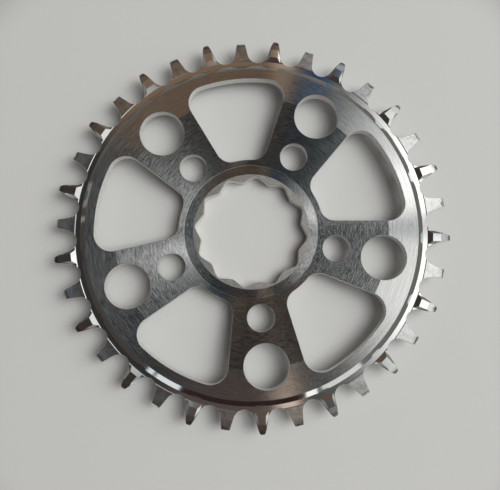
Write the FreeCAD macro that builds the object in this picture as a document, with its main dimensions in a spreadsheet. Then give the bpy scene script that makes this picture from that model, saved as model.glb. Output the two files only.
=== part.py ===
import FreeCAD, Part
import Sketcher
import math
import os

# Narrow-wide direct mount chainring, in millimetres.
# The axis is Z, the back face of the hub is z = 0, and the dished front face looks up.
# One arm lies on +X. A tooth gap and a spline lobe are centred on that arm.

DRIVING_SIZES = {
    # Chain and teeth
    "chain_pitch": 12.7,
    "tooth_pairs": 17,
    "roller_seat_diameter": 7.8,
    "flank_angle": 11.0,
    "wide_addendum": 5.0,
    "narrow_addendum": 3.8,
    "wide_thickness": 3.9,
    "narrow_thickness": 2.3,
    "nose_thickness": 2.3,
    "tip_thickness": 1.3,
    "wide_tip_round": 0.8,
    "narrow_tip_bevel": 0.65,
    "nose_length": 0.75,
    "crown_reach": 1.3,
    "ramp_top_depth": 1.65,
    "ramp_foot_depth": 3.4,
    "lug_foot_width": 3.1,
    "lug_tip_width": 2.3,
    "lug_bevel_angle": 52.0,
    # Rim
    "land_width": 1.7,
    "land_thickness": 2.0,
    "shoulder_width": 2.05,
    "back_land_width": 4.0,
    "back_step_width": 1.0,
    "face_width": 11.0,
    "rim_width": 3.6,
    "overall_height": 8.45,
    "chainline_height": 6.0,
    "plate_thickness": 4.0,
    # Hub and spline
    "spline_lobes": 12,
    "spline_minor_radius": 19.13,
    "spline_depth": 2.0,
    "spline_root_round": 2.4,
    "spline_tip_round": 2.2,
    "broach_stock": 1.0,
    "chamfer_reach": 0.6,
    "chamfer_angle": 17.0,
    "seat_width": 3.43,
    "seat_height": 5.45,
    "seat_step": 0.3,
    "hub_wall": 2.1,
    "boss_inset": 0.6,
    # Arms, holes and windows
    "arm_count": 5,
    "large_hole_diameter": 16.58,
    "small_hole_diameter": 10.13,
    "web_width": 5.44,
    "window_outer_round": 6.54,
    "window_inner_round": 5.54,
    # How far a cutting sketch runs past the metal
    "cut_margin": 3.0,
}

DERIVED_SIZES = {
    # Radii from the pitch circle inwards and outwards
    "pitch_radius": "chain_pitch / (2 * sin(90 / tooth_pairs))",
    "half_tooth_angle": "90 / tooth_pairs",
    "wide_tooth_angle": "half_tooth_angle",
    "narrow_tooth_angle": "3 * half_tooth_angle",
    "next_gap_angle": "2 * half_tooth_angle",
    "seat_arc_radius": "roller_seat_diameter / 2",
    "gap_flank_angle": "flank_angle + half_tooth_angle",
    "flank_reach": "seat_arc_radius - pitch_radius * sin(gap_flank_angle)",
    "wide_tip_radius": "pitch_radius + wide_addendum",
    "narrow_tip_radius": "pitch_radius + narrow_addendum",
    "narrow_bevel_radius": "narrow_tip_radius - narrow_tip_bevel",
    "cut_radius": "wide_tip_radius + cut_margin",
    "nose_radius": "wide_tip_radius - nose_length",
    "crown_end_radius": "pitch_radius + crown_reach",
    "ramp_top_radius": "pitch_radius - ramp_top_depth",
    "ramp_foot_radius": "pitch_radius - ramp_foot_depth",
    "land_inner_radius": "ramp_foot_radius - land_width",
    "shoulder_radius": "land_inner_radius - shoulder_width",
    "back_land_radius": "ramp_foot_radius - back_land_width",
    "back_step_radius": "back_land_radius - back_step_width",
    "cone_end_radius": "shoulder_radius - face_width",
    "window_outer_radius": "shoulder_radius - rim_width",
    # Heights of the tooth band
    "wide_top": "chainline_height + wide_thickness / 2",
    "wide_bottom": "chainline_height - wide_thickness / 2",
    "narrow_top": "chainline_height + narrow_thickness / 2",
    "narrow_bottom": "chainline_height - narrow_thickness / 2",
    "nose_top": "chainline_height + nose_thickness / 2",
    "nose_bottom": "chainline_height - nose_thickness / 2",
    "tip_top": "chainline_height + tip_thickness / 2",
    "tip_bottom": "chainline_height - tip_thickness / 2",
    "land_top": "chainline_height + land_thickness / 2",
    "land_bottom": "chainline_height - land_thickness / 2",
    "lug_height": "(wide_thickness - narrow_thickness) / 2",
    "half_lug_foot": "lug_foot_width / 2",
    "half_lug_tip": "lug_tip_width / 2",
    "tooth_cut_side": "chain_pitch / 2",
    # Centre of the round between a wide tooth's flank and its tip, seen from the gap
    "tip_round_x": "((wide_tip_radius - wide_tip_round) * cos(gap_flank_angle)"
                   " - (flank_reach + wide_tip_round) * sin(half_tooth_angle)) / cos(flank_angle)",
    # Hub
    "spline_major_radius": "spline_minor_radius + spline_depth",
    "half_lobe_angle": "180 / spline_lobes",
    "bore_radius": "spline_minor_radius - broach_stock",
    "lobe_centre": "spline_major_radius - spline_root_round",
    "lobe_cut_start": "bore_radius - spline_depth",
    "tip_apex_x": "spline_minor_radius * cos(half_lobe_angle)",
    "tip_centre_x": "(spline_minor_radius + spline_tip_round) * cos(half_lobe_angle)",
    "tip_centre_y": "(spline_minor_radius + spline_tip_round) * sin(half_lobe_angle)",
    "chamfer_radius": "spline_major_radius + chamfer_reach",
    "chamfer_foot": "seat_height - (chamfer_radius - bore_radius) * tan(chamfer_angle)",
    "seat_radius": "chamfer_radius + seat_width",
    "cone_foot": "seat_height + seat_step",
    "window_inner_radius": "seat_radius + hub_wall",
    "boss_radius": "window_inner_radius - boss_inset",
    "cone_slope": "(overall_height - cone_foot) / (cone_end_radius - seat_radius)",
    "plate_back": "overall_height - plate_thickness",
    "boss_top": "cone_foot + (boss_radius - seat_radius) * cone_slope - plate_thickness",
    # Holes on the arm, and the window sides that follow them at the web's width
    "large_hole_centre": "window_outer_radius - large_hole_diameter / 2",
    "small_hole_centre": "window_inner_radius + small_hole_diameter / 2",
    "half_arm_angle": "180 / arm_count",
    "side_sine": "(large_hole_diameter - small_hole_diameter) / 2 / (large_hole_centre - small_hole_centre)",
    "side_angle": "half_arm_angle - asin(side_sine) / 1 deg",
    "side_offset": "small_hole_diameter / 2 + web_width - small_hole_centre * side_sine",
}

doc = FreeCAD.newDocument("chainring")
sheet = doc.addObject("Spreadsheet::Sheet", "Sizes")


def fill_sheet():
    """Writes each size in column B beside its name, driving sizes first."""
    formulas = {name: "=" + formula for name, formula in DERIVED_SIZES.items()}
    cells = {name: str(value) for name, value in DRIVING_SIZES.items()} | formulas
    for row, (name, content) in enumerate(cells.items(), start=1):
        sheet.set(f"A{row}", name)
        sheet.set(f"B{row}", content)
        sheet.setAlias(f"B{row}", name)
    doc.recompute()


def size(name):
    """The present value of a cell, as a plain number."""
    value = sheet.get(name)
    return float(getattr(value, "Value", value))


fill_sheet()
body = doc.addObject("PartDesign::Body", "chainring")
body.Label = "chainring"
ORIGIN, H_AXIS, V_AXIS = -1, -1, -2
START, END, CENTRE = 1, 2, 3


def origin_feature(role):
    return next(feature for feature in body.Origin.OriginFeatures if feature.Role == role)


def new_sketch(name, role="XY_Plane", height=None, turn=None):
    """A sketch on an origin plane, raised by a named height or turned about the part's axis."""
    sketch = body.newObject("Sketcher::SketchObject", name)
    sketch.AttachmentSupport = [(origin_feature(role), "")]
    sketch.MapMode = "FlatFace"
    if turn:
        part_axis = FreeCAD.Vector(0, 0, 1) if role == "XY_Plane" else FreeCAD.Vector(0, 1, 0)
        turned = FreeCAD.Rotation(part_axis, size(turn))
        sketch.AttachmentOffset = FreeCAD.Placement(FreeCAD.Vector(), turned)
        sketch.setExpression("AttachmentOffset.Rotation.Angle", f"Sizes.{turn}")
    if height:
        sketch.setExpression("AttachmentOffset.Base.z", f"Sizes.{height}")
    return sketch


def bind(sketch, name, *constraint):
    """Adds a dimension whose value is the named size. A leading minus turns its sign."""
    sign = -1 if name.startswith("-") else 1
    alias = name.lstrip("-")
    value = sign * size(alias)
    if constraint[0] == "Angle":
        value = math.radians(value)
    index = sketch.addConstraint(Sketcher.Constraint(*constraint, value))
    sketch.setExpression(f"Constraints[{index}]", f"{'-' if sign < 0 else ''}Sizes.{alias}")


def place_point(sketch, geometry, end, x, y):
    """Fixes a point by named distances from the sketch's origin. None puts it on that axis."""
    if x is None:
        sketch.addConstraint(Sketcher.Constraint("PointOnObject", geometry, end, V_AXIS))
    else:
        bind(sketch, x, "DistanceX", ORIGIN, START, geometry, end)
    if y is None:
        sketch.addConstraint(Sketcher.Constraint("PointOnObject", geometry, end, H_AXIS))
    else:
        bind(sketch, y, "DistanceY", ORIGIN, START, geometry, end)


def signed_size(name):
    if name is None:
        return 0.0
    return -size(name[1:]) if name.startswith("-") else size(name)


def polygon(sketch, corners):
    """A closed outline of straight lines through corners given as pairs of size names."""
    points = [FreeCAD.Vector(signed_size(x), signed_size(y), 0) for x, y in corners]
    first = sketch.GeometryCount
    count = len(points)
    for i in range(count):
        sketch.addGeometry(Part.LineSegment(points[i], points[(i + 1) % count]))
    for i in range(count):
        following = first + (i + 1) % count
        sketch.addConstraint(Sketcher.Constraint("Coincident", first + i, END, following, START))
        place_point(sketch, first + i, START, *corners[i])


def arc(centre, radius, start, end):
    """An anticlockwise arc between two angles in radians."""
    circle = Part.Circle(centre, FreeCAD.Vector(0, 0, 1), radius)
    return Part.ArcOfCircle(circle, start, end)


def polar(radius, angle):
    return FreeCAD.Vector(radius * math.cos(angle), radius * math.sin(angle), 0)


def cut(name, sketch, length=None, upwards=True, taper=None, both_ways=False):
    """A pocket from the sketch, through all the metal or to a named depth, which must remove some."""
    doc.recompute()
    before = body.Shape.Volume
    pocket = body.newObject("PartDesign::Pocket", name)
    pocket.Profile = sketch
    pocket.Reversed = upwards
    pocket.Midplane = both_ways
    if length:
        pocket.Type = "Length"
        pocket.setExpression("Length", f"Sizes.{length}")
    else:
        pocket.Type = "ThroughAll"
    if taper:
        pocket.setExpression("TaperAngle", f"-Sizes.{taper}")
    body.Tip = pocket
    doc.recompute()
    if not body.Shape.Volume < before:
        raise RuntimeError(f"{name} removes nothing")
    return pocket


def repeat(name, features, count):
    """Repeats features evenly round the axis."""
    pattern = body.newObject("PartDesign::PolarPattern", name)
    pattern.Originals = features
    pattern.Axis = (origin_feature("Z_Axis"), [""])
    pattern.Angle = 360
    pattern.setExpression("Occurrences", f"Sizes.{count}")
    body.Tip = pattern
    doc.recompute()


def turn_blank():
    """The turned blank: dished plate, hub boss, shoulder, land and the full ring of wide teeth."""
    sketch = new_sketch("blank_section", "XZ_Plane")
    polygon(sketch, [
        ("bore_radius", None),
        ("boss_radius", None),
        ("boss_radius", "boss_top"),
        ("cone_end_radius", "plate_back"),
        ("back_step_radius", "plate_back"),
        ("back_land_radius", "land_bottom"),
        ("ramp_foot_radius", "land_bottom"),
        ("ramp_top_radius", "wide_bottom"),
        ("crown_end_radius", "wide_bottom"),
        ("nose_radius", "nose_bottom"),
        ("wide_tip_radius", "tip_bottom"),
        ("wide_tip_radius", "tip_top"),
        ("nose_radius", "nose_top"),
        ("crown_end_radius", "wide_top"),
        ("ramp_top_radius", "wide_top"),
        ("ramp_foot_radius", "land_top"),
        ("land_inner_radius", "land_top"),
        ("shoulder_radius", "overall_height"),
        ("cone_end_radius", "overall_height"),
        ("seat_radius", "cone_foot"),
        ("seat_radius", "seat_height"),
        ("chamfer_radius", "seat_height"),
        ("bore_radius", "chamfer_foot"),
    ])
    blank = body.newObject("PartDesign::Revolution", "blank")
    blank.Profile = sketch
    blank.ReferenceAxis = (sketch, ["V_Axis"])
    blank.Angle = 360
    body.Tip = blank
    doc.recompute()


def link(sketch, kind, first, first_end, second, second_end):
    """Joins two ends of the outline by a constraint of the given kind."""
    sketch.addConstraint(Sketcher.Constraint(kind, first, first_end, second, second_end))


def mirrored(point):
    return FreeCAD.Vector(point.x, -point.y, 0)


def on_side(sign, *points):
    """The points as they are, or their mirror images below the X axis for a minus sign."""
    return [mirrored(point) if sign else point for point in points]


def tooth_rectangle(name, turn, foot, height=None):
    """A sketch that covers one tooth from a named radius outwards."""
    sketch = new_sketch(name, height=height, turn=turn)
    polygon(sketch, [
        (foot, "-tooth_cut_side"),
        ("cut_radius", "-tooth_cut_side"),
        ("cut_radius", "tooth_cut_side"),
        (foot, "tooth_cut_side"),
    ])
    return sketch


def mill_narrow_tooth():
    """Thins one tooth on both faces, shortens it and bevels its tip."""
    front = tooth_rectangle("narrow_front_outline", "narrow_tooth_angle", "land_inner_radius", "narrow_top")
    back = tooth_rectangle("narrow_back_outline", "narrow_tooth_angle", "land_inner_radius", "narrow_bottom")
    tip = tooth_rectangle("narrow_tip_outline", "narrow_tooth_angle", "narrow_tip_radius")
    cuts = [
        cut("narrow_front", front),
        cut("narrow_back", back, upwards=False),
        cut("narrow_tip", tip),
    ]
    bevel = new_sketch("narrow_bevel_section", "XZ_Plane", turn="narrow_tooth_angle")
    for tooth_face, tip_edge in (("narrow_top", "tip_top"), ("narrow_bottom", "tip_bottom")):
        polygon(bevel, [
            ("narrow_bevel_radius", tooth_face),
            ("narrow_tip_radius", tip_edge),
            ("cut_radius", tip_edge),
            ("cut_radius", tooth_face),
        ])
    cuts.append(cut("narrow_bevel", bevel, "chain_pitch", both_ways=True))
    return cuts


def bevel_wide_tooth():
    """Slopes the sides of one wide tooth's lug down to the level of the narrow teeth, on both faces."""
    cuts = []
    for face, height, upwards in (("front", "wide_top", False), ("back", "wide_bottom", True)):
        sketch = new_sketch(f"lug_{face}_outline", height=height, turn="wide_tooth_angle")
        for side in ("", "-"):
            polygon(sketch, [
                ("land_inner_radius", side + "half_lug_foot"),
                ("cut_radius", side + "half_lug_tip"),
                ("cut_radius", side + "tooth_cut_side"),
                ("land_inner_radius", side + "tooth_cut_side"),
            ])
        cuts.append(cut(f"lug_{face}", sketch, "lug_height", upwards, "lug_bevel_angle"))
    return cuts


def gap_line(sketch, sign, start, direction):
    """A straight side of the gap from a point out to the cut radius, mirrored for a minus sign."""
    reach = (size("cut_radius") - start.x) / direction.x
    line = Part.LineSegment(*on_side(sign, start, start + direction * reach))
    return sketch.addGeometry(line)


def round_tip(sketch, sign, flank, flank_normal, seat_top):
    """Ends the wide tooth's flank in a round, and goes on outwards along the tooth."""
    tip_round = size("wide_tip_round")
    tooth_lean = math.radians(size("half_tooth_angle"))
    # The round's centre stands its own radius off the flank.
    round_off = flank_normal.dot(seat_top) + tip_round
    round_x = size("tip_round_x")
    round_y = (round_off - flank_normal.x * round_x) / flank_normal.y
    round_centre = FreeCAD.Vector(round_x, round_y, 0)
    [sided_centre] = on_side(sign, round_centre)
    flank_end = math.atan2(-flank_normal.y, -flank_normal.x)
    angles = (-tooth_lean, -flank_end) if sign else (flank_end, tooth_lean)
    foot, top = (END, START) if sign else (START, END)
    tip_arc = sketch.addGeometry(arc(sided_centre, tip_round, *angles))
    spoke = gap_line(sketch, sign, round_centre + polar(tip_round, tooth_lean), polar(1, tooth_lean))
    link(sketch, "Tangent", flank, END, tip_arc, foot)
    link(sketch, "Perpendicular", tip_arc, top, spoke, START)
    bind(sketch, "wide_tip_round", "Radius", tip_arc)
    bind(sketch, "tip_round_x", "DistanceX", ORIGIN, START, tip_arc, CENTRE)
    bind(sketch, sign + "half_tooth_angle", "Angle", spoke)
    return spoke


def cut_roller_gap(name, wide_sign, turn=None):
    """The space between two teeth. The wide one is above the gap, or below it for a minus sign."""
    sketch = new_sketch(f"{name}_outline", turn=turn)
    centre = FreeCAD.Vector(size("pitch_radius"), 0, 0)
    seat_radius = size("seat_arc_radius")
    flank_lean = math.radians(size("gap_flank_angle"))
    seat_end = flank_lean + math.pi / 2
    flank_normal = polar(1, seat_end)
    seat_top = centre + flank_normal * seat_radius
    seat = sketch.addGeometry(arc(centre, seat_radius, seat_end, -seat_end))
    place_point(sketch, seat, CENTRE, "pitch_radius", None)
    bind(sketch, "seat_arc_radius", "Radius", seat)
    outer_lines = []
    for sign, seat_link in (("", START), ("-", END)):
        flank = gap_line(sketch, sign, seat_top, polar(1, flank_lean))
        link(sketch, "Tangent", flank, START, seat, seat_link)
        bind(sketch, sign + "gap_flank_angle", "Angle", flank)
        outer_line = flank
        if sign == wide_sign:
            outer_line = round_tip(sketch, sign, flank, flank_normal, seat_top)
        bind(sketch, "cut_radius", "DistanceX", ORIGIN, START, outer_line, END)
        outer_lines.append(outer_line)
    outer_ends = [sketch.getPoint(line, END) for line in outer_lines]
    closing = sketch.addGeometry(Part.LineSegment(*outer_ends))
    link(sketch, "Coincident", outer_lines[0], END, closing, START)
    link(sketch, "Coincident", outer_lines[1], END, closing, END)
    return cut(name, sketch)


def broach_lobe():
    """One lobe of the wavy spline, from tip to tip, down to the bored hole."""
    sketch = new_sketch("lobe_outline")
    half_lobe = math.radians(size("half_lobe_angle"))
    root_round = size("spline_root_round")
    tip_round = size("spline_tip_round")
    root_centre = FreeCAD.Vector(size("lobe_centre"), 0, 0)
    tip_centre = FreeCAD.Vector(size("tip_centre_x"), size("tip_centre_y"), 0)
    between = tip_centre - root_centre
    # The flank is the inner common tangent of the root round and the tip round.
    normal = math.atan2(between.y, between.x) - math.acos((root_round + tip_round) / between.Length)
    apex = polar(size("spline_minor_radius"), half_lobe)
    flank_root = root_centre + polar(root_round, normal)
    flank_tip = tip_centre - polar(tip_round, normal)
    inside = FreeCAD.Vector(size("lobe_cut_start"), apex.y, 0)
    turned = math.pi
    root = sketch.addGeometry(arc(root_centre, root_round, -normal, normal))
    flank = sketch.addGeometry(Part.LineSegment(flank_root, flank_tip))
    tip = sketch.addGeometry(arc(tip_centre, tip_round, turned + half_lobe, turned + normal))
    side = sketch.addGeometry(Part.LineSegment(apex, inside))
    closing = sketch.addGeometry(Part.LineSegment(inside, mirrored(inside)))
    low_side = sketch.addGeometry(Part.LineSegment(mirrored(inside), mirrored(apex)))
    low_tip = sketch.addGeometry(arc(mirrored(tip_centre), tip_round, turned - normal, turned - half_lobe))
    low_flank = sketch.addGeometry(Part.LineSegment(mirrored(flank_tip), mirrored(flank_root)))
    link(sketch, "Tangent", root, END, flank, START)
    link(sketch, "Tangent", flank, END, tip, END)
    link(sketch, "Coincident", tip, START, side, START)
    link(sketch, "Coincident", side, END, closing, START)
    link(sketch, "Coincident", closing, END, low_side, START)
    link(sketch, "Coincident", low_side, END, low_tip, END)
    link(sketch, "Tangent", low_tip, START, low_flank, START)
    link(sketch, "Tangent", low_flank, END, root, START)
    sketch.addConstraint(Sketcher.Constraint("Horizontal", side))
    sketch.addConstraint(Sketcher.Constraint("Horizontal", low_side))
    sketch.addConstraint(Sketcher.Constraint("Vertical", closing))
    place_point(sketch, root, CENTRE, "lobe_centre", None)
    bind(sketch, "spline_root_round", "Radius", root)
    bind(sketch, "lobe_cut_start", "DistanceX", ORIGIN, START, closing, START)
    for tip_arc, end, sign in ((tip, START, ""), (low_tip, END, "-")):
        place_point(sketch, tip_arc, CENTRE, "tip_centre_x", sign + "tip_centre_y")
        bind(sketch, "spline_tip_round", "Radius", tip_arc)
        bind(sketch, "tip_apex_x", "DistanceX", ORIGIN, START, tip_arc, end)
    return cut("lobe", sketch)


def drill_arm():
    """The large and the small hole of one arm."""
    sketch = new_sketch("arm_holes_outline")
    for hole in ("large_hole", "small_hole"):
        centre = FreeCAD.Vector(size(f"{hole}_centre"), 0, 0)
        diameter = size(f"{hole}_diameter")
        circle = sketch.addGeometry(Part.Circle(centre, FreeCAD.Vector(0, 0, 1), diameter / 2))
        place_point(sketch, circle, CENTRE, f"{hole}_centre", None)
        bind(sketch, f"{hole}_diameter", "Diameter", circle)
    return cut("arm_holes", sketch)


def window_corner(reach, corner_round):
    """Centre of a corner round that touches the upper side, at a given distance from the axis."""
    lean = math.radians(size("side_angle"))
    off = size("side_offset") + corner_round
    along = math.sqrt(reach ** 2 - off ** 2)
    return polar(along, lean) + polar(off, lean - math.pi / 2)


def cut_window():
    """One window between two arms: two arcs about the axis, two straight sides and four rounds."""
    sketch = new_sketch("window_outline", turn="half_arm_angle")
    outer_round = size("window_outer_round")
    inner_round = size("window_inner_round")
    outer_radius = size("window_outer_radius")
    inner_radius = size("window_inner_radius")
    outer_centre = window_corner(outer_radius - outer_round, outer_round)
    inner_centre = window_corner(inner_radius + inner_round, inner_round)
    side_normal = math.radians(size("side_angle")) + math.pi / 2
    outer_end = math.atan2(outer_centre.y, outer_centre.x)
    inner_end = math.atan2(inner_centre.y, inner_centre.x)
    side_top = outer_centre + polar(outer_round, side_normal)
    side_foot = inner_centre + polar(inner_round, side_normal)
    axis = FreeCAD.Vector()
    turned = math.pi
    outer = sketch.addGeometry(arc(axis, outer_radius, -outer_end, outer_end))
    inner = sketch.addGeometry(arc(axis, inner_radius, -inner_end, inner_end))
    upper_outer = sketch.addGeometry(arc(outer_centre, outer_round, outer_end, side_normal))
    upper_side = sketch.addGeometry(Part.LineSegment(side_foot, side_top))
    upper_inner = sketch.addGeometry(arc(inner_centre, inner_round, side_normal, inner_end + turned))
    lower_outer = sketch.addGeometry(arc(mirrored(outer_centre), outer_round, -side_normal, -outer_end))
    lower_side = sketch.addGeometry(Part.LineSegment(mirrored(side_foot), mirrored(side_top)))
    low_inner_arc = arc(mirrored(inner_centre), inner_round, turned - inner_end, 2 * turned - side_normal)
    lower_inner = sketch.addGeometry(low_inner_arc)
    link(sketch, "Tangent", outer, END, upper_outer, START)
    link(sketch, "Tangent", upper_outer, END, upper_side, END)
    link(sketch, "Tangent", upper_side, START, upper_inner, START)
    link(sketch, "Tangent", upper_inner, END, inner, END)
    link(sketch, "Tangent", inner, START, lower_inner, START)
    link(sketch, "Tangent", lower_inner, END, lower_side, START)
    link(sketch, "Tangent", lower_side, END, lower_outer, START)
    link(sketch, "Tangent", lower_outer, END, outer, START)
    for arc_about_axis, radius in ((outer, "window_outer_radius"), (inner, "window_inner_radius")):
        link(sketch, "Coincident", arc_about_axis, CENTRE, ORIGIN, START)
        bind(sketch, radius, "Radius", arc_about_axis)
    for side, angle in ((upper_side, "side_angle"), (lower_side, "-side_angle")):
        bind(sketch, angle, "Angle", side)
        bind(sketch, "side_offset", "Distance", ORIGIN, START, side)
    for corner in (upper_outer, lower_outer):
        bind(sketch, "window_outer_round", "Radius", corner)
    for corner in (upper_inner, lower_inner):
        bind(sketch, "window_inner_round", "Radius", corner)
    return cut("window", sketch)


def write_parts():
    """Checks every object of the document, then writes the part's solid."""
    failed = [item.Name for item in doc.Objects if {"Invalid", "Error"} & set(item.State)]
    if failed:
        raise RuntimeError("failed: " + ", ".join(failed))
    shape = body.Shape
    if shape.isNull() or not shape.isValid() or len(shape.Solids) != 1:
        raise RuntimeError("the chainring is not one valid solid")
    os.makedirs("parts", exist_ok=True)
    shape.exportStep(f"parts/{body.Label}.step")
    print(f"{body.Label}: {shape.Volume:.1f} mm3, {len(shape.Faces)} faces, {shape.BoundBox}")


turn_blank()
repeat("arms", [drill_arm(), cut_window()], "arm_count")
repeat("spline", [broach_lobe()], "spline_lobes")
repeat("tooth_faces", mill_narrow_tooth() + bevel_wide_tooth(), "tooth_pairs")
gaps = [
    cut_roller_gap("gap", ""),
    cut_roller_gap("next_gap", "-", turn="next_gap_angle"),
]
repeat("gaps", gaps, "tooth_pairs")
write_parts()
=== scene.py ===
import math
from typing import NamedTuple

import bmesh
import bpy
from bpy.props import FloatProperty, FloatVectorProperty, IntProperty, PointerProperty
from mathutils import Matrix, Vector


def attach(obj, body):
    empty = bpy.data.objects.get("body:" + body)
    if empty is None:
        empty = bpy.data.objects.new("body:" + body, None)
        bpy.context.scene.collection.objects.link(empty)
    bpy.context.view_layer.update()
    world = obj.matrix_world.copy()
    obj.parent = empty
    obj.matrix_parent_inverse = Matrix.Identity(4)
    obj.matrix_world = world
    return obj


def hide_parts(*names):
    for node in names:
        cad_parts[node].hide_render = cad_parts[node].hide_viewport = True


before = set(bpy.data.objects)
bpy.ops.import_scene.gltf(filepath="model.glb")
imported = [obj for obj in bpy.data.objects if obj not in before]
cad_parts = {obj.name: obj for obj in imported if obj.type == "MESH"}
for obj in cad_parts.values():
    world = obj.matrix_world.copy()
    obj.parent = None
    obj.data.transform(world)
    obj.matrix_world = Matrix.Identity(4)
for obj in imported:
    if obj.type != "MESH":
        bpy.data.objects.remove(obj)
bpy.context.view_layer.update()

bl_info = {
    "name": "Chainring",
    "version": (1, 0, 0),
    "blender": (4, 5, 0),
    "location": "View3D > Sidebar > Chainring",
    "description": "Finishes the turned and milled chainring and sets its stage",
    "category": "Object",
}

CAD_NODE = "chainring"
BODY = "root"
PIECE = "chainring_metal"
MILLIMETRE = 0.001


class ChainringSizes(bpy.types.PropertyGroup):
    """Where one finish of the chainring ends and the next begins, and what wear and the brush leave."""

    tooth_pairs: IntProperty(
        name="Tooth pairs",
        description="Pairs of one wide and one narrow tooth round the ring",
        default=17,
        min=1,
    )
    shoulder_radius: FloatProperty(
        name="Shoulder radius",
        description="Radius where the flat face ends and the finely turned shoulder begins",
        default=61.6 * MILLIMETRE,
        unit="LENGTH",
    )
    tooth_foot: FloatProperty(
        name="Tooth foot radius",
        description="Radius where the teeth begin",
        default=65.5 * MILLIMETRE,
        unit="LENGTH",
    )
    tooth_tip: FloatProperty(
        name="Tooth tip radius",
        description="Radius where the narrow teeth end",
        default=72.6 * MILLIMETRE,
        unit="LENGTH",
    )
    tip_start: FloatProperty(
        name="Tip start radius",
        description="Radius from which the worn tips of the wide teeth draw in",
        default=69.5 * MILLIMETRE,
        unit="LENGTH",
    )
    tip_end: FloatProperty(
        name="Tip end radius",
        description="Radius where the wide teeth end",
        default=73.8 * MILLIMETRE,
        unit="LENGTH",
    )
    tip_draw: FloatProperty(
        name="Tip draw",
        description="Share of its width that a wide tooth loses to wear at its tip",
        default=0.36,
        subtype="FACTOR",
    )
    tooth_fall: FloatProperty(
        name="Tooth fall",
        description="How far a narrow tooth's brushed face leans outwards at its tip",
        default=math.radians(8),
        subtype="ANGLE",
    )
    seat_radius: FloatProperty(
        name="Seat radius",
        description="Radius of the low step round the seat, whose edges stay sharp",
        default=25.16 * MILLIMETRE,
        unit="LENGTH",
    )
    coarse_radius: FloatProperty(
        name="Coarse face radius",
        description="Radius where the seat ends and the coarse face round the spline begins",
        default=21.8 * MILLIMETRE,
        unit="LENGTH",
    )
    wall_steepness: FloatProperty(
        name="Wall steepness",
        description="Faces that lean less than this from the axis are walls",
        default=math.radians(15),
        subtype="ANGLE",
    )
    smooth_angle: FloatProperty(
        name="Smooth angle",
        description="Wall facets that meet at less than this angle are one curved wall",
        default=math.radians(35),
        subtype="ANGLE",
    )
    edge_break: FloatProperty(
        name="Edge break",
        description="Width of the broken edge where a wall meets a face",
        default=0.12 * MILLIMETRE,
        unit="LENGTH",
    )


class ChainringFinish(bpy.types.PropertyGroup):
    """Colours and tool marks of the bare metal."""

    metal_colour: FloatVectorProperty(
        name="Metal colour",
        description="Colour of the bare aluminium",
        default=(0.9, 0.905, 0.9),
        subtype="COLOR",
        size=3,
    )
    wall_colour: FloatVectorProperty(
        name="Wall colour",
        description="Colour of the milled walls and of the coarse face round the spline",
        default=(0.75, 0.738, 0.718),
        subtype="COLOR",
        size=3,
    )
    turned_roughness: FloatProperty(
        name="Turned roughness",
        description="Roughness of the turned faces",
        default=0.166,
        subtype="FACTOR",
    )
    tooth_roughness: FloatProperty(
        name="Tooth roughness",
        description="Roughness of the milled tooth faces",
        default=0.24,
        subtype="FACTOR",
    )
    fine_roughness: FloatProperty(
        name="Fine roughness",
        description="Roughness of the finely turned shoulder, land and wide teeth",
        default=0.075,
        subtype="FACTOR",
    )
    bevel_roughness: FloatProperty(
        name="Bevel roughness",
        description="Roughness of the small bevels and broken edges",
        default=0.16,
        subtype="FACTOR",
    )
    coarse_roughness: FloatProperty(
        name="Coarse roughness",
        description="Roughness of the coarse face between the seat and the spline",
        default=0.52,
        subtype="FACTOR",
    )
    wall_roughness: FloatProperty(
        name="Wall roughness",
        description="Roughness of the milled walls",
        default=0.58,
        subtype="FACTOR",
    )
    line_spacing: FloatProperty(
        name="Line spacing",
        description="Spacing of the concentric lines that the turning tool leaves",
        default=0.27 * MILLIMETRE,
        unit="LENGTH",
    )
    line_depth: FloatProperty(
        name="Line depth",
        description="Depth of the concentric lines",
        default=0.008 * MILLIMETRE,
        unit="LENGTH",
    )


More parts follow.
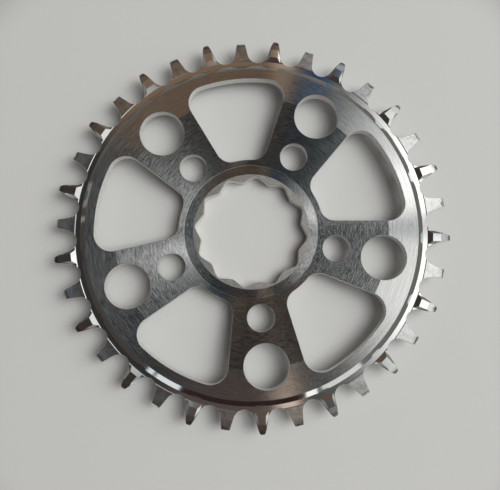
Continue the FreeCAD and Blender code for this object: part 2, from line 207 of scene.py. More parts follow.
class ChainringStage(bpy.types.PropertyGroup):
    """Floor, light and camera."""

    view_turn: FloatProperty(
        name="View turn",
        description="Angle of the view's right-hand direction from the part's X axis",
        default=math.radians(-204.37),
        subtype="ANGLE",
    )
    floor_colour: FloatVectorProperty(
        name="Floor colour",
        description="Colour of the pale floor round the part",
        default=(0.53, 0.53, 0.52),
        subtype="COLOR",
        size=3,
    )
    # Painted shade: the floor's colour darkens away from the part, in place of the lamps' fall-off
    floor_painted_shade_colour: FloatVectorProperty(
        name="Dim floor colour",
        description="Colour of the floor away from the part",
        default=(0.12, 0.11, 0.1),
        subtype="COLOR",
        size=3,
    )
    # Reach of the pale pool of light painted on the floor round the part
    painted_light_pool_radius: FloatProperty(
        name="Pale floor radius",
        description="Reach of the pale floor round the part",
        default=0.124,
        unit="LENGTH",
    )
    # Distance where the painted shade on the floor is full
    painted_shade_radius: FloatProperty(
        name="Dim floor radius",
        description="Distance at which the floor has its dim colour",
        default=0.168,
        unit="LENGTH",
    )
    floor_radius: FloatProperty(
        name="Floor radius",
        description="Reach of the floor from the part's axis",
        default=2.0,
        unit="LENGTH",
    )
    floor_drop: FloatProperty(
        name="Floor drop",
        description="Gap between the floor and the hub's back face",
        default=0.05 * MILLIMETRE,
        unit="LENGTH",
    )
    lamp_distance: FloatProperty(
        name="Lamp distance",
        description="Distance of both lamps from the part",
        default=2.4,
        unit="LENGTH",
    )
    lamp_size: FloatProperty(
        name="Lamp size",
        description="Width of both lamps",
        default=1.65,
        unit="LENGTH",
    )
    high_power: FloatProperty(
        name="High lamp power",
        description="Power of the lamp that stands higher",
        default=32.0,
        unit="POWER",
    )
    high_azimuth: FloatProperty(
        name="High lamp azimuth",
        description="Direction of the higher lamp from the view's right towards its top",
        default=math.radians(0),
        subtype="ANGLE",
    )
    high_lean: FloatProperty(
        name="High lamp lean",
        description="Angle of the higher lamp from straight above",
        default=math.radians(30),
        subtype="ANGLE",
    )
    side_power: FloatProperty(
        name="Side lamp power",
        description="Power of the lamp that stands lower",
        default=24.0,
        unit="POWER",
    )
    side_azimuth: FloatProperty(
        name="Side lamp azimuth",
        description="Direction of the lower lamp from the view's right towards its top",
        default=math.radians(12),
        subtype="ANGLE",
    )
    side_lean: FloatProperty(
        name="Side lamp lean",
        description="Angle of the lower lamp from straight above",
        default=math.radians(48),
        subtype="ANGLE",
    )
    studio_middle: FloatProperty(
        name="Studio middle",
        description="Shift of the strips overhead towards the view's top, for a height of 1",
        default=0.126,
    )
    lens: FloatProperty(
        name="Lens",
        description="Focal length of the camera",
        default=39.6,
        unit="CAMERA",
    )
    camera_place: FloatVectorProperty(
        name="Camera place",
        description="Place of the camera, along the view's right, top and towards the viewer",
        default=(0.007 * MILLIMETRE, -25.58 * MILLIMETRE, 209.74 * MILLIMETRE),
        subtype="XYZ_LENGTH",
        size=3,
    )
    camera_tilt: FloatVectorProperty(
        name="Camera tilt",
        description="Tilt of the camera about the view's right and top directions",
        default=(0.0998, 0.0024),
        subtype="NONE",
        size=2,
    )


def set_input(tree, socket, value):
    """Gives an input a value, or links another node's output to it."""
    if isinstance(value, bpy.types.NodeSocket):
        tree.links.new(value, socket)
    else:
        socket.default_value = value


def set_inputs(tree, node, inputs):
    """Fills a node's inputs, by their names or numbers."""
    for name, value in inputs.items():
        set_input(tree, node.inputs[name], value)


def add_node(tree, kind, inputs=None, **options):
    """Adds a node, sets its options and fills its inputs."""
    made = tree.nodes.new(kind)
    for name, value in options.items():
        setattr(made, name, value)
    set_inputs(tree, made, inputs or {})
    return made


def maths(tree, operation, *values):
    """The result of a maths node on one, two or three values."""
    return add_node(tree, "ShaderNodeMath", dict(enumerate(values)), operation=operation).outputs[0]


def vectors(tree, operation, *values):
    """A vector maths node on one or two vectors."""
    return add_node(tree, "ShaderNodeVectorMath", dict(enumerate(values)), operation=operation)


def stretch(tree, value, low, high, way="LINEAR"):
    """Goes from 0 at the low value to 1 at the high one, and no further."""
    inputs = {"Value": value, "From Min": low, "From Max": high}
    return add_node(tree, "ShaderNodeMapRange", inputs, interpolation_type=way).outputs["Result"]


def fade(tree, value, low, high):
    """Rises smoothly from 0 at the low value to 1 at the high one."""
    return stretch(tree, value, low, high, "SMOOTHSTEP")


def about(tree, value, centre, spread):
    """A value from 0 to 1 laid about a centre, spread evenly to both sides."""
    return maths(tree, "MULTIPLY_ADD", value, 2 * spread, centre - spread)


def shared(tree, first, second, share):
    """Two values in one, of which the second has the given share."""
    rest = maths(tree, "MULTIPLY", first, 1 - share)
    return maths(tree, "MULTIPLY_ADD", second, share, rest)


def opaque(colour):
    """A colour with full alpha."""
    return (*colour, 1.0)


def mix_colour(tree, factor, first, second, kind="MIX"):
    """A blend of two colours."""
    blend = add_node(tree, "ShaderNodeMix", data_type="RGBA", blend_type=kind)
    values = {"Factor_Float": factor, "A_Color": first, "B_Color": second}
    for socket in blend.inputs:
        if socket.identifier in values:
            set_input(tree, socket, values[socket.identifier])
    return next(socket for socket in blend.outputs if socket.identifier == "Result_Color")


def tinted(tree, colour, value, spread):
    """The metal's colour, a little lighter or darker as a value goes from 0 to 1."""
    darker = opaque([channel * (1 - spread) for channel in colour])
    lighter = opaque([min(1.0, channel * (1 + spread)) for channel in colour])
    return mix_colour(tree, value, darker, lighter)


def bumps(tree, height, depth):
    """The normals of a surface that rises and falls by a depth."""
    return add_node(tree, "ShaderNodeBump", {"Height": height, "Distance": depth}).outputs["Normal"]


def object_place(tree):
    """Where a shaded point lies on the part."""
    return add_node(tree, "ShaderNodeTexCoord").outputs["Object"]


def level_place(tree, place):
    """A point's place without its height, and its distance from the axis."""
    level = vectors(tree, "MULTIPLY", place, (1.0, 1.0, 0.0)).outputs["Vector"]
    return level, vectors(tree, "LENGTH", level).outputs["Value"]


def new_group(name, inputs, outputs):
    """An empty node group with float sockets, and its input and output nodes."""
    group = bpy.data.node_groups.new(name, "ShaderNodeTree")
    for label in inputs:
        group.interface.new_socket(name=label, in_out="INPUT", socket_type="NodeSocketFloat")
    for label in outputs:
        group.interface.new_socket(name=label, in_out="OUTPUT", socket_type="NodeSocketFloat")
    return group, group.nodes.new("NodeGroupInput"), group.nodes.new("NodeGroupOutput")


# Lines of the turning tool: strokes and broader bands to a turn, and how much wider the bands lie apart
STROKES_A_TURN = 17.0
BANDS_A_TURN = 5.0
BAND_SPACING = 1.6
LINE_DETAIL = 2.0
# Unevenness of the patches
PATCH_DETAIL = 5.0
PATCH_ROUGHNESS = 0.62
# Turns of the scratches about the axis, in radians, and how thin and long they are
SCRATCH_TURNS = (0.4, 1.3, 2.5)
SCRATCH_STRETCH = (3600.0, 110.0, 110.0)
SCRATCH_DETAIL = 1.0
SCRATCH_EDGE = 0.03
# Fineness of the wear, and how far its edge wanders along a tooth
WEAR_SCALE = 900.0
WEAR_DETAIL = 3.0
WEAR_RAGGEDNESS = 1.5 * MILLIMETRE


def stroke_noise(tree, level, radius, spacing, strokes):
    """Noise drawn out into strokes round the axis: so far apart, and so many to a turn."""
    direction = vectors(tree, "NORMALIZE", level).outputs["Vector"]
    inputs = {0: direction, "Scale": strokes}
    round_axis = add_node(tree, "ShaderNodeVectorMath", inputs, operation="SCALE")
    lift = add_node(tree, "ShaderNodeCombineXYZ", {"Z": maths(tree, "DIVIDE", radius, spacing)})
    place = vectors(tree, "ADD", round_axis.outputs["Vector"], lift.outputs["Vector"])
    inputs = {"Vector": place.outputs["Vector"], "Scale": 1.0, "Detail": LINE_DETAIL}
    return add_node(tree, "ShaderNodeTexNoise", inputs).outputs["Fac"]


def tool_lines_group():
    """Concentric lines about the part's axis: fine strokes and broader bands."""
    group, given, result = new_group("Tool lines", ["Spacing"], ["Strokes", "Bands"])
    level, radius = level_place(group, object_place(group))
    spacing = given.outputs["Spacing"]
    wider = maths(group, "MULTIPLY", spacing, BAND_SPACING)
    strokes = stroke_noise(group, level, radius, spacing, STROKES_A_TURN)
    bands = stroke_noise(group, level, radius, wider, BANDS_A_TURN)
    set_inputs(group, result, {"Strokes": strokes, "Bands": bands})
    return group


def handling_group():
    """Faint uneven patches, as bare metal gets from hands and storage."""
    group, given, result = new_group("Handling marks", ["Patch Scale"], ["Patches"])
    inputs = {
        "Vector": object_place(group),
        "Scale": given.outputs["Patch Scale"],
        "Detail": PATCH_DETAIL,
        "Roughness": PATCH_ROUGHNESS,
    }
    patches = add_node(group, "ShaderNodeTexNoise", inputs).outputs["Fac"]
    set_inputs(group, result, {"Patches": patches})
    return group


def scratches_group():
    """Sparse thin scratches in a few directions."""
    group, given, result = new_group("Scratches", ["Rarity"], ["Lines"])
    place = object_place(group)
    lines = 0.0
    for turn in SCRATCH_TURNS:
        inputs = {"Vector": place, "Rotation": (0.0, 0.0, turn), "Scale": SCRATCH_STRETCH}
        stretched = add_node(group, "ShaderNodeMapping", inputs).outputs["Vector"]
        inputs = {"Vector": stretched, "Scale": 1.0, "Detail": SCRATCH_DETAIL}
        noise = add_node(group, "ShaderNodeTexNoise", inputs).outputs["Fac"]
        over = maths(group, "SUBTRACT", noise, given.outputs["Rarity"])
        lines = maths(group, "MAXIMUM", lines, fade(group, over, 0.0, SCRATCH_EDGE))
    set_inputs(group, result, {"Lines": lines})
    return group


def tip_wear_group():
    """Dark uneven wear on the tips of the teeth, where the chain runs off."""
    group, given, result = new_group("Tip wear", ["Start Radius", "End Radius"], ["Wear"])
    place = object_place(group)
    radius = level_place(group, place)[1]
    inputs = {"Vector": place, "Scale": WEAR_SCALE, "Detail": WEAR_DETAIL}
    noise = add_node(group, "ShaderNodeTexNoise", inputs).outputs["Fac"]
    ragged = maths(group, "ADD", radius, about(group, noise, 0.0, WEAR_RAGGEDNESS))
    wear = fade(group, ragged, given.outputs["Start Radius"], given.outputs["End Radius"])
    set_inputs(group, result, {"Wear": wear})
    return group


class Marks(NamedTuple):
    """How a finish varies: the scale of its patches, and how far its tone and its roughness stray."""

    patch_scale: float
    tone: float
    roughness: float


TURNED_MARKS = Marks(patch_scale=55.0, tone=0.22, roughness=0.036)
FINE_MARKS = Marks(patch_scale=300.0, tone=0.12, roughness=0.03)
TOOTH_MARKS = Marks(patch_scale=420.0, tone=0.3, roughness=0.07)
BEVEL_MARKS = Marks(patch_scale=400.0, tone=0.1, roughness=0.08)
COARSE_MARKS = Marks(patch_scale=1500.0, tone=0.15, roughness=0.1)
WALL_MARKS = Marks(patch_scale=140.0, tone=0.12, roughness=0.08)
# The middle part of each noise that is stretched to its whole range
STROKE_RANGE = (0.35, 0.65)
BAND_RANGE = (0.3, 0.7)
TOOTH_RANGE = (0.3, 0.7)
COARSE_RANGE = (0.35, 0.65)
# What the bands add to the tone of the turned face, and the patches to its roughness
BAND_SHARE = 0.35
PATCH_SHARE = 0.2
# A quarter of a turn lays the light across the tool lines
LINE_TURN = 0.25
# How few scratches show, and their bright metal
SCRATCH_RARITY = 0.74
SCRATCH_COLOUR = (0.95, 0.95, 0.95)
# Worn tips are dark and a little rougher, and lie between two radii on the wide and on the narrow teeth
WEAR_COLOUR = (0.2, 0.195, 0.19)
WEAR_ROUGHNESS = 0.2
WIDE_WEAR = (71.6 * MILLIMETRE, 73.7 * MILLIMETRE)
NARROW_WEAR = (71.3 * MILLIMETRE, 72.2 * MILLIMETRE)
# Depth of each finish against the depth of the tool lines
FINE_DEPTH = 1 / 6
TOOTH_DEPTH = 4
COARSE_DEPTH = 8
WALL_DEPTH = 1 / 2
# Lines of the shoulder and land lie closer together than those of the face
FINE_SPACING = 1 / 2
# Milled walls scatter light more than a turned face does, and have grain along the cutter's axis
WALL_METALLIC = 0.6
GRAIN_STRETCH = (1.0, 1.0, 0.08)
GRAIN_SCALE = 2600.0


def place_group(tree, group, **inputs):
    """A node group in a material, its inputs given by their names."""
    named = {label.replace("_", " "): value for label, value in inputs.items()}
    return add_node(tree, "ShaderNodeGroup", named, node_tree=group)


def patches_of(tree, groups, marks):
    """The uneven patches of a finish."""
    return place_group(tree, groups["handling"], Patch_Scale=marks.patch_scale).outputs["Patches"]


def worn(tree, groups, colour, radii):
    """A finish's colour with its worn tips, and the wear itself."""
    start, end = radii
    wear = place_group(tree, groups["wear"], Start_Radius=start, End_Radius=end).outputs["Wear"]
    return mix_colour(tree, wear, colour, opaque(WEAR_COLOUR)), wear


def new_material(name):
    """A new material, its node tree and its shader."""
    material = bpy.data.materials.new(name)
    material.use_nodes = True
    tree = material.node_tree
    return material, tree, tree.nodes["Principled BSDF"]


def turned_material(finish, groups):
    """Bare metal off the lathe: concentric lines that draw the light out into a fan."""
    material, tree, metal = new_material("turned_face")
    lines = place_group(tree, groups["lines"], Spacing=finish.line_spacing)
    scratches = place_group(tree, groups["scratches"], Rarity=SCRATCH_RARITY).outputs["Lines"]
    strokes = stretch(tree, lines.outputs["Strokes"], *STROKE_RANGE)
    bands = stretch(tree, lines.outputs["Bands"], *BAND_RANGE)
    tone = shared(tree, strokes, bands, BAND_SHARE)
    uneven = shared(tree, strokes, patches_of(tree, groups, TURNED_MARKS), PATCH_SHARE)
    colour = tinted(tree, finish.metal_colour, tone, TURNED_MARKS.tone)
    tangent = add_node(tree, "ShaderNodeTangent", direction_type="RADIAL", axis="Z")
    inputs = {
        "Metallic": 1.0,
        "Anisotropic": 1.0,
        "Anisotropic Rotation": LINE_TURN,
        "Base Color": mix_colour(tree, scratches, colour, opaque(SCRATCH_COLOUR)),
        "Roughness": about(tree, uneven, finish.turned_roughness, TURNED_MARKS.roughness),
        "Normal": bumps(tree, tone, finish.line_depth),
        "Tangent": tangent.outputs["Tangent"],
    }
    set_inputs(tree, metal, inputs)
    return material


def fine_material(finish, groups):
    """Finely turned metal of the shoulder, the land and the wide teeth, with worn tips."""
    material, tree, metal = new_material("fine_turned")
    lines = place_group(tree, groups["lines"], Spacing=finish.line_spacing * FINE_SPACING)
    strokes = lines.outputs["Strokes"]
    patches = patches_of(tree, groups, FINE_MARKS)
    colour = tinted(tree, finish.metal_colour, strokes, FINE_MARKS.tone)
    colour, wear = worn(tree, groups, colour, WIDE_WEAR)
    roughness = about(tree, patches, finish.fine_roughness, FINE_MARKS.roughness)
    inputs = {
        "Metallic": 1.0,
        "Base Color": colour,
        "Roughness": maths(tree, "MULTIPLY_ADD", wear, WEAR_ROUGHNESS, roughness),
        "Normal": bumps(tree, strokes, finish.line_depth * FINE_DEPTH),
    }
    set_inputs(tree, metal, inputs)
    return material


def tooth_material(finish, groups):
    """Milled and brushed faces of the narrow teeth, with worn tips."""
    material, tree, metal = new_material("milled_tooth")
    patches = patches_of(tree, groups, TOOTH_MARKS)
    colour = tinted(tree, finish.metal_colour, stretch(tree, patches, *TOOTH_RANGE), TOOTH_MARKS.tone)
    inputs = {
        "Metallic": 1.0,
        "Base Color": worn(tree, groups, colour, NARROW_WEAR)[0],
        "Roughness": about(tree, patches, finish.tooth_roughness, TOOTH_MARKS.roughness),
        "Normal": bumps(tree, patches, finish.line_depth * TOOTH_DEPTH),
    }
    set_inputs(tree, metal, inputs)
    return material


def bevel_material(finish, groups):
    """Small bevels and broken edges, bright from the deburring brush, with worn tips."""
    material, tree, metal = new_material("bright_bevel")
    patches = patches_of(tree, groups, BEVEL_MARKS)
    colour = tinted(tree, finish.metal_colour, patches, BEVEL_MARKS.tone)
    inputs = {
        "Metallic": 1.0,
        "Base Color": worn(tree, groups, colour, WIDE_WEAR)[0],
        "Roughness": about(tree, patches, finish.bevel_roughness, BEVEL_MARKS.roughness),
    }
    set_inputs(tree, metal, inputs)
    return material


def coarse_material(finish, groups):
    """Coarse face between the seat and the spline, left as it was cut."""
    material, tree, metal = new_material("coarse_face")
    specks = patches_of(tree, groups, COARSE_MARKS)
    tone = stretch(tree, specks, *COARSE_RANGE)
    inputs = {
        "Metallic": 1.0,
        "Base Color": tinted(tree, finish.wall_colour, tone, COARSE_MARKS.tone),
        "Roughness": about(tree, specks, finish.coarse_roughness, COARSE_MARKS.roughness),
        "Normal": bumps(tree, specks, finish.line_depth * COARSE_DEPTH),
    }
    set_inputs(tree, metal, inputs)
    return material


def wall_material(finish, groups):
    """Milled walls with fine marks along the cutter's axis."""
    material, tree, metal = new_material("milled_wall")
    inputs = {"Vector": object_place(tree), "Scale": GRAIN_STRETCH}
    drawn_out = add_node(tree, "ShaderNodeMapping", inputs).outputs["Vector"]
    inputs = {"Vector": drawn_out, "Scale": GRAIN_SCALE}
    grain = add_node(tree, "ShaderNodeTexNoise", inputs).outputs["Fac"]
    patches = patches_of(tree, groups, WALL_MARKS)
    inputs = {
        "Metallic": WALL_METALLIC,
        "Base Color": tinted(tree, finish.wall_colour, grain, WALL_MARKS.tone),
        "Roughness": about(tree, patches, finish.wall_roughness, WALL_MARKS.roughness),
        "Normal": bumps(tree, grain, finish.line_depth * WALL_DEPTH),
    }
    set_inputs(tree, metal, inputs)
    return material


# The finishes, by their place in the piece's list of materials
TURNED, FINE, TOOTH, BEVEL, COARSE, WALL = range(6)
MATERIALS = (
    turned_material,
    fine_material,
    tooth_material,
    bevel_material,
    coarse_material,
    wall_material,
)
AXIS = Vector((0.0, 0.0, 1.0))
# A face whose lean points this far aside from the axis is a bevel, not a turned one
BEVEL_ASIDE = 0.05
SEAT_PLAY = 0.05 * MILLIMETRE
MERGE_DISTANCE = 0.0005 * MILLIMETRE


def outward(point):
    """Unit vector from the axis to a point."""
    return Vector((point.x, point.y, 0.0)).normalized()


def from_axis(point):
    """Distance of a point from the axis."""
    return math.hypot(point.x, point.y)


def from_wide_tooth(point, sizes):
    """Angle of a point from the middle of the wide tooth next to it."""
    step = 2 * math.pi / sizes.tooth_pairs
    first = math.pi / (2 * sizes.tooth_pairs)
    return (math.atan2(point.y, point.x) - first + step / 2) % step - step / 2


def on_wide_tooth(point, sizes):
    """Whether a point lies in a wide tooth's half of its pair."""
    return abs(from_wide_tooth(point, sizes)) < math.pi / (2 * sizes.tooth_pairs)


def draw_in_tips(work, sizes):
    """Narrows the tips of the wide teeth round the axis, as the chain wears them."""
    for vertex in work.verts:
        share = (from_axis(vertex.co) - sizes.tip_start) / (sizes.tip_end - sizes.tip_start)
        if share > 0 and on_wide_tooth(vertex.co, sizes):
            turn = -from_wide_tooth(vertex.co, sizes) * sizes.tip_draw * min(share, 1.0) ** 2
            vertex.co = Matrix.Rotation(turn, 3, "Z") @ vertex.co


def finish_of(face, sizes):
    """Which finish a face has, from its lean and its place."""
    if abs(face.normal.z) < math.sin(sizes.wall_steepness):
        return WALL
    centre = face.calc_center_median()
    aside = abs(face.normal.cross(outward(centre)).z)
    if aside > BEVEL_ASIDE:
        return BEVEL
    radius = from_axis(centre)
    if radius < sizes.coarse_radius and face.normal.z > 0:
        return COARSE
    if radius < sizes.shoulder_radius:
        return TURNED
    if radius < sizes.tooth_foot or on_wide_tooth(centre, sizes):
        return FINE
    level = abs(face.normal.z) > math.cos(sizes.wall_steepness)
    return TOOTH if level else BEVEL


def turned_normal(corner):
    """The normal of the cone or flat that a turned face is part of, at one of its corners."""
    face = corner.face
    lean = face.normal.dot(outward(face.calc_center_median()))
    return (outward(corner.vert.co) * lean + AXIS * face.normal.z).normalized()


def tooth_normal(corner, sizes):
    """The normal of a narrow tooth's face, which the brush leaves a little fallen towards the tip."""
    point = corner.vert.co
    share = (from_axis(point) - sizes.tooth_foot) / (sizes.tooth_tip - sizes.tooth_foot)
    lean = sizes.tooth_fall * min(max(share, 0.0), 1.0)
    side = math.copysign(1.0, corner.face.normal.z)
    return outward(point) * math.sin(lean) + AXIS * side * math.cos(lean)


def wall_normal(corner, smooth_cosine):
    """The normal of a curved wall, from the facets round a corner that belong to it."""
    total = Vector()
    for other in corner.vert.link_loops:
        same_wall = other.face.material_index == WALL
        if same_wall and other.face.normal.dot(corner.face.normal) > smooth_cosine:
            total += other.face.normal * other.calc_angle()
    return total.normalized()


def face_normals(face, sizes):
    """The normals at a face's corners, by its finish."""
    if face.material_index in (TURNED, FINE):
        return [turned_normal(corner) for corner in face.loops]
    if face.material_index == TOOTH:
        return [tooth_normal(corner, sizes) for corner in face.loops]
    if face.material_index == COARSE:
        return [AXIS.copy() for corner in face.loops]
    if face.material_index == WALL:
        return [wall_normal(corner, math.cos(sizes.smooth_angle)) for corner in face.loops]
    return [face.normal.copy() for corner in face.loops]


def edge_normals(face, broken, normals):
    """The normals of a broken edge: each corner takes that of the face it runs into."""
    found = [None] * len(face.loops)
    for place, corner in enumerate(face.loops):
        following = (place + 1) % len(face.loops)
        neighbour = corner.link_loop_radial_next
        if neighbour.face in broken:
            continue
        for here, vertex in ((place, corner.vert), (following, face.loops[following].vert)):
            there = next(i for i, other in enumerate(neighbour.face.loops) if other.vert == vertex)
            found[here] = normals[neighbour.face][there]
    return [normal or face.normal.copy() for normal in found]


def round_seat(edge, sizes):
    """Whether an edge runs along the low step round the seat."""
    return all(abs(from_axis(vertex.co) - sizes.seat_radius) < SEAT_PLAY for vertex in edge.verts)


def break_edges(work, sizes):
    """Bevels the edges between walls and faces, and returns the new narrow faces."""
    edges = []
    for edge in work.edges:
        walls = [face.material_index == WALL for face in edge.link_faces]
        if len(walls) == 2 and walls[0] != walls[1] and not round_seat(edge, sizes):
            edges.append(edge)
    bevelled = bmesh.ops.bevel(
        work,
        geom=edges,
        offset=sizes.edge_break,
        offset_type="OFFSET",
        affect="EDGES",
        segments=1,
        profile=0.5,
        material=-1,
        clamp_overlap=False,
        loop_slide=True,
    )
    return set(bevelled["faces"])


def finished_mesh(node, sizes):
    """A merged copy of the CAD node's mesh, with worn tips, broken edges, finishes and their normals."""
    work = bmesh.new()
    work.from_mesh(node.data)
    bmesh.ops.remove_doubles(work, verts=work.verts, dist=MERGE_DISTANCE)
    bmesh.ops.dissolve_degenerate(work, edges=work.edges, dist=MERGE_DISTANCE)
    draw_in_tips(work, sizes)
    work.normal_update()
    for face in work.faces:
        face.smooth = True
        face.material_index = finish_of(face, sizes)
    broken = break_edges(work, sizes)
    work.normal_update()
    for face in broken:
        face.material_index = BEVEL
    normals = {face: face_normals(face, sizes) for face in work.faces}
    for face in broken:
        normals[face] = edge_normals(face, broken, normals)
    mesh = bpy.data.meshes.new(PIECE)
    corner_list = [normal for face in work.faces for normal in normals[face]]
    work.to_mesh(mesh)
    work.free()
    mesh.normals_split_custom_set(corner_list)
    return mesh


class CHAINRING_OT_finish_ring(bpy.types.Operator):
    """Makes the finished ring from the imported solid"""

    bl_idname = "chainring.finish_ring"
    bl_label = "Finish ring"

    def execute(self, context):
        sizes = context.scene.chainring_sizes
        finish = context.scene.chainring_finish
        ring = bpy.data.objects.new(PIECE, finished_mesh(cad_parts[CAD_NODE], sizes))
        context.scene.collection.objects.link(ring)
        groups = {
            "lines": tool_lines_group(),
            "handling": handling_group(),
            "scratches": scratches_group(),
            "wear": tip_wear_group(),
        }
        for make in MATERIALS:
            ring.data.materials.append(make(finish, groups))
        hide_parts(CAD_NODE)
        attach(ring, BODY)
        return {"FINISHED"}


FLOOR_SEGMENTS = 96
FLOOR_ROUGHNESS = 0.9
FLOOR_SHEEN = 0.1
SENSOR_WIDTH = 36.0
NEAREST_SIGHT = 0.01


def view_matrix(stage):
    """Turns the view's right, top and viewer directions into the part's frame."""
    return Matrix.Rotation(stage.view_turn, 4, "Z")


def add_floor(stage):
    """A round floor under the part, with a pale pool of light painted round it and painted shade further
    out.
    """
    work = bmesh.new()
    bmesh.ops.create_circle(work, cap_ends=True, segments=FLOOR_SEGMENTS, radius=stage.floor_radius)
    bmesh.ops.translate(work, verts=work.verts, vec=(0.0, 0.0, -stage.floor_drop))
    mesh = bpy.data.meshes.new("floor")
    work.to_mesh(mesh)
    work.free()
    floor = bpy.data.objects.new("floor", mesh)
    material, tree, surface = new_material("floor_painted_light_pool")
    # Painted light: the floor's colour goes from the pale pool round the part to painted shade further
    # out
    away = vectors(tree, "LENGTH", object_place(tree)).outputs["Value"]
    painted_falloff = fade(tree, away, stage.painted_light_pool_radius, stage.painted_shade_radius)
    colour = mix_colour(tree, painted_falloff, opaque(stage.floor_colour), opaque(stage.floor_painted_shade_colour))
    inputs = {"Base Color": colour, "Roughness": FLOOR_ROUGHNESS, "Specular IOR Level": FLOOR_SHEEN}
    set_inputs(tree, surface, inputs)
    mesh.materials.append(material)
    bpy.context.scene.collection.objects.link(floor)


def add_lamp(name, stage, power, azimuth, lean):
    """A soft round lamp. The metal doesn't show it: it mirrors the strips round the part."""
    data = bpy.data.lights.new(name, "AREA")
    data.energy = power
    data.shape = "DISK"
    data.size = stage.lamp_size
    lamp = bpy.data.objects.new(name, data)
    level = math.sin(lean)
    in_view = Vector((math.cos(azimuth) * level, math.sin(azimuth) * level, math.cos(lean)))
    direction = view_matrix(stage) @ in_view
    lamp.location = direction * stage.lamp_distance
    lamp.rotation_euler = direction.to_track_quat("Z", "Y").to_euler()
    lamp.visible_glossy = False
    bpy.context.scene.collection.objects.link(lamp)


def add_lamps(stage):
    """Two soft lamps at the right of the view."""
    add_lamp("high_lamp", stage, stage.high_power, stage.high_azimuth, stage.high_lean)
    add_lamp("side_lamp", stage, stage.side_power, stage.side_azimuth, stage.side_lean)


# The soft boxes and dim panels round the part, as strips that spread out from the point straight above
# the view's middle: direction from the view's right towards its top and half width in degrees,
# then the colour close to that point and the colour further down
STUDIO_STRIPS = {
    "warm panel": (112.0, 44.0, (0.18, 0.118, 0.077), (0.105, 0.078, 0.056)),
    "near panel": (-100.0, 26.0, (0.083, 0.064, 0.058), (0.055, 0.043, 0.04)),
    "soft box edge": (2.0, 84.0, (0.21, 0.225, 0.225), (0.55, 0.56, 0.55)),
    "soft box": (0.0, 59.0, (1.23, 1.24, 1.21), (0.78, 0.79, 0.76)),
    "dark bar": (2.0, 6.0, (0.6, 0.62, 0.63), (0.5, 0.52, 0.52)),
    "blue strip": (66.5, 7.0, (0.024, 0.05, 0.105), (0.3, 0.33, 0.36)),
    "warm strip": (79.0, 5.0, (0.38, 0.28, 0.19), (0.19, 0.14, 0.1)),
    "near strip": (-78.0, 5.0, (0.7, 0.55, 0.44), (0.27, 0.21, 0.17)),
}
# The brightest part of the soft box, which reaches closest to that point
CORE_STRIP = (16.0, 11.5, (1.6, 1.61, 1.58), (1.15, 1.13, 1.06))
# Strips that stand at the horizon, with one colour each
LOW_STRIPS = {
    "low panel": (8.0, 82.0, (0.14, 0.137, 0.12)),
    "low box": (-55.2, 9.0, (0.66, 0.67, 0.63)),
    "near shade": (-95.0, 25.0, (0.024, 0.014, 0.014)),
    "left light": (161.0, 4.6, (0.21, 0.195, 0.17)),
    "left slit": (169.4, 0.9, (0.26, 0.245, 0.21)),
    "near light": (-123.5, 7.3, (0.72, 0.76, 0.78)),
    "near bar": (-127.0, 0.8, (0.2, 0.22, 0.24)),
    "low light": (-67.7, 2.4, (1.0, 1.0, 0.98)),
}
# A faint glow at the left, with its direction and half width
GLOW_STRIP = (190.0, 62.0)
# Share of a strip's half width over which it fades
STRIP_SOFTNESS = 0.6
LOW_SOFTNESS = 0.15
# The studio away from the strips: its dark middle overhead, its dim parts, its sides and its horizon
STUDIO_MIDDLE = (0.002, 0.008, 0.011)
STUDIO_DIM = (0.024, 0.028, 0.03)
STUDIO_FAR = (0.042, 0.032, 0.028)
STUDIO_GLOW = (0.15, 0.19, 0.21)
STUDIO_SIDE = (0.21, 0.208, 0.2)
STUDIO_LOW = (0.055, 0.047, 0.042)
# Where each of these fades in, and the glow ends, as a distance from the point overhead for a height of 1
CORE_REACH = (0.1, 0.19)
MIDDLE_REACH = (0.14, 0.262)
FAR_REACH = (0.3, 0.37)
DOWN_REACH = (0.4, 0.62)
GLOW_REACH = (0.44, 0.54)
GLOW_END = (0.68, 0.58)
SIDE_REACH = (1.5, 2.3)
# Height of a direction, for a length of 1: where the horizon's strips take over, and the least it counts
LOW_HEIGHT = (0.24, 0.19)
LEAST_HEIGHT = 0.02


def strip_mask(tree, azimuth, centre, half_width, softness):
    """1 along the middle of a strip, fading to 0 at its edges."""
    offset = maths(tree, "SUBTRACT", azimuth, math.radians(centre))
    away = maths(tree, "ABSOLUTE", maths(tree, "WRAP", offset, math.pi, -math.pi))
    return fade(tree, away, math.radians(half_width), math.radians(half_width) * (1 - softness))


def studio_directions(tree, stage):
    """A direction's azimuth and reach from the point overhead, and how far it points up."""
    direction = add_node(tree, "ShaderNodeTexCoord").outputs["Generated"]
    turn = {"Vector": direction, "Angle": -stage.view_turn}
    turned = add_node(tree, "ShaderNodeVectorRotate", turn, rotation_type="Z_AXIS")
    axes = add_node(tree, "ShaderNodeSeparateXYZ", {"Vector": turned.outputs["Vector"]})
    right, top, up = axes.outputs
    height = maths(tree, "MAXIMUM", up, LEAST_HEIGHT)
    across = maths(tree, "DIVIDE", right, height)
    along = maths(tree, "SUBTRACT", maths(tree, "DIVIDE", top, height), stage.studio_middle)
    azimuth = maths(tree, "ARCTAN2", along, across)
    squares = maths(tree, "MULTIPLY_ADD", across, across, maths(tree, "MULTIPLY", along, along))
    return azimuth, maths(tree, "SQRT", squares), up


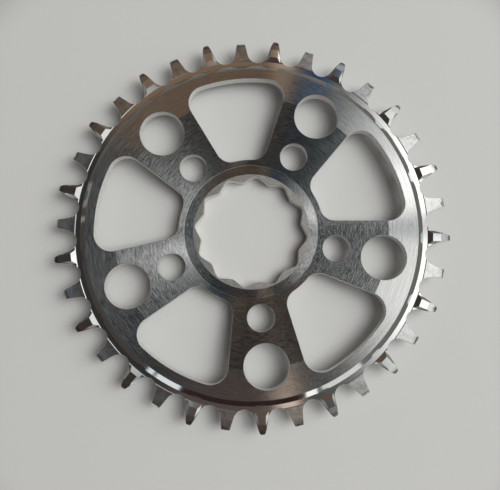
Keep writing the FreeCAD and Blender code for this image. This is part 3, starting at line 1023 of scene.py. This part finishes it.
def high_studio(tree, azimuth, reach):
    """The studio overhead: dim panels and strips, the soft box and its core, and the dark middle."""
    further_down = fade(tree, reach, *DOWN_REACH)
    studio = mix_colour(tree, fade(tree, reach, *FAR_REACH), opaque(STUDIO_DIM), opaque(STUDIO_FAR))
    for centre, half_width, near, far in STUDIO_STRIPS.values():
        mask = strip_mask(tree, azimuth, centre, half_width, STRIP_SOFTNESS)
        colour = mix_colour(tree, further_down, opaque(near), opaque(far))
        studio = mix_colour(tree, mask, studio, colour)
    studio = mix_colour(tree, fade(tree, reach, *SIDE_REACH), studio, opaque(STUDIO_SIDE), "LIGHTEN")
    glow = strip_mask(tree, azimuth, *GLOW_STRIP, STRIP_SOFTNESS)
    for limits in (GLOW_REACH, GLOW_END):
        glow = maths(tree, "MULTIPLY", glow, fade(tree, reach, *limits))
    studio = mix_colour(tree, glow, studio, opaque(STUDIO_GLOW))
    studio = mix_colour(tree, fade(tree, reach, *MIDDLE_REACH), opaque(STUDIO_MIDDLE), studio)
    centre, half_width, near, far = CORE_STRIP
    core = strip_mask(tree, azimuth, centre, half_width, STRIP_SOFTNESS)
    core = maths(tree, "MULTIPLY", core, fade(tree, reach, *CORE_REACH))
    colour = mix_colour(tree, further_down, opaque(near), opaque(far))
    return mix_colour(tree, core, studio, colour)


def low_studio(tree, azimuth):
    """The studio at the horizon."""
    studio = opaque(STUDIO_LOW)
    for centre, half_width, colour in LOW_STRIPS.values():
        mask = strip_mask(tree, azimuth, centre, half_width, LOW_SOFTNESS)
        studio = mix_colour(tree, mask, studio, opaque(colour))
    return studio


def add_surroundings(stage):
    """A dim studio with a bright soft box at the view's right."""
    world = bpy.data.worlds.new("studio")
    world.use_nodes = True
    tree = world.node_tree
    azimuth, reach, up = studio_directions(tree, stage)
    high = high_studio(tree, azimuth, reach)
    low = low_studio(tree, azimuth)
    colour = mix_colour(tree, fade(tree, up, *LOW_HEIGHT), high, low)
    set_inputs(tree, tree.nodes["Background"], {"Color": colour})
    bpy.context.scene.world = world


def add_camera(stage):
    """The camera, nearly straight above the part."""
    data = bpy.data.cameras.new("camera")
    data.lens = stage.lens
    data.sensor_width = SENSOR_WIDTH
    data.clip_start = NEAREST_SIGHT
    camera = bpy.data.objects.new("camera", data)
    camera.location = view_matrix(stage) @ Vector(stage.camera_place)
    camera.rotation_euler = (*stage.camera_tilt, stage.view_turn)
    bpy.context.scene.collection.objects.link(camera)
    bpy.context.scene.camera = camera


class CHAINRING_OT_set_stage(bpy.types.Operator):
    """Sets the floor, the light and the camera"""

    bl_idname = "chainring.set_stage"
    bl_label = "Set stage"

    def execute(self, context):
        stage = context.scene.chainring_stage
        add_floor(stage)
        add_lamps(stage)
        add_surroundings(stage)
        add_camera(stage)
        context.scene.view_settings.view_transform = "Standard"
        return {"FINISHED"}


class CHAINRING_PT_panel(bpy.types.Panel):
    """Lists the chainring's sizes, finishes and stage"""

    bl_idname = "CHAINRING_PT_panel"
    bl_label = "Chainring"
    bl_space_type = "VIEW_3D"
    bl_region_type = "UI"
    bl_category = "Chainring"

    def draw(self, context):
        scene = context.scene
        for group in (scene.chainring_sizes, scene.chainring_finish, scene.chainring_stage):
            box = self.layout.box()
            for name in group.__annotations__:
                box.prop(group, name)
        self.layout.operator(CHAINRING_OT_finish_ring.bl_idname)
        self.layout.operator(CHAINRING_OT_set_stage.bl_idname)


CLASSES = (
    ChainringSizes,
    ChainringFinish,
    ChainringStage,
    CHAINRING_OT_finish_ring,
    CHAINRING_OT_set_stage,
    CHAINRING_PT_panel,
)


def register():
    for item in CLASSES:
        bpy.utils.register_class(item)
    bpy.types.Scene.chainring_sizes = PointerProperty(type=ChainringSizes)
    bpy.types.Scene.chainring_finish = PointerProperty(type=ChainringFinish)
    bpy.types.Scene.chainring_stage = PointerProperty(type=ChainringStage)


def unregister():
    del bpy.types.Scene.chainring_stage
    del bpy.types.Scene.chainring_finish
    del bpy.types.Scene.chainring_sizes
    for item in reversed(CLASSES):
        bpy.utils.unregister_class(item)


def main():
    register()
    bpy.ops.chainring.finish_ring()
    bpy.ops.chainring.set_stage()


if __name__ == "__main__":
    main()
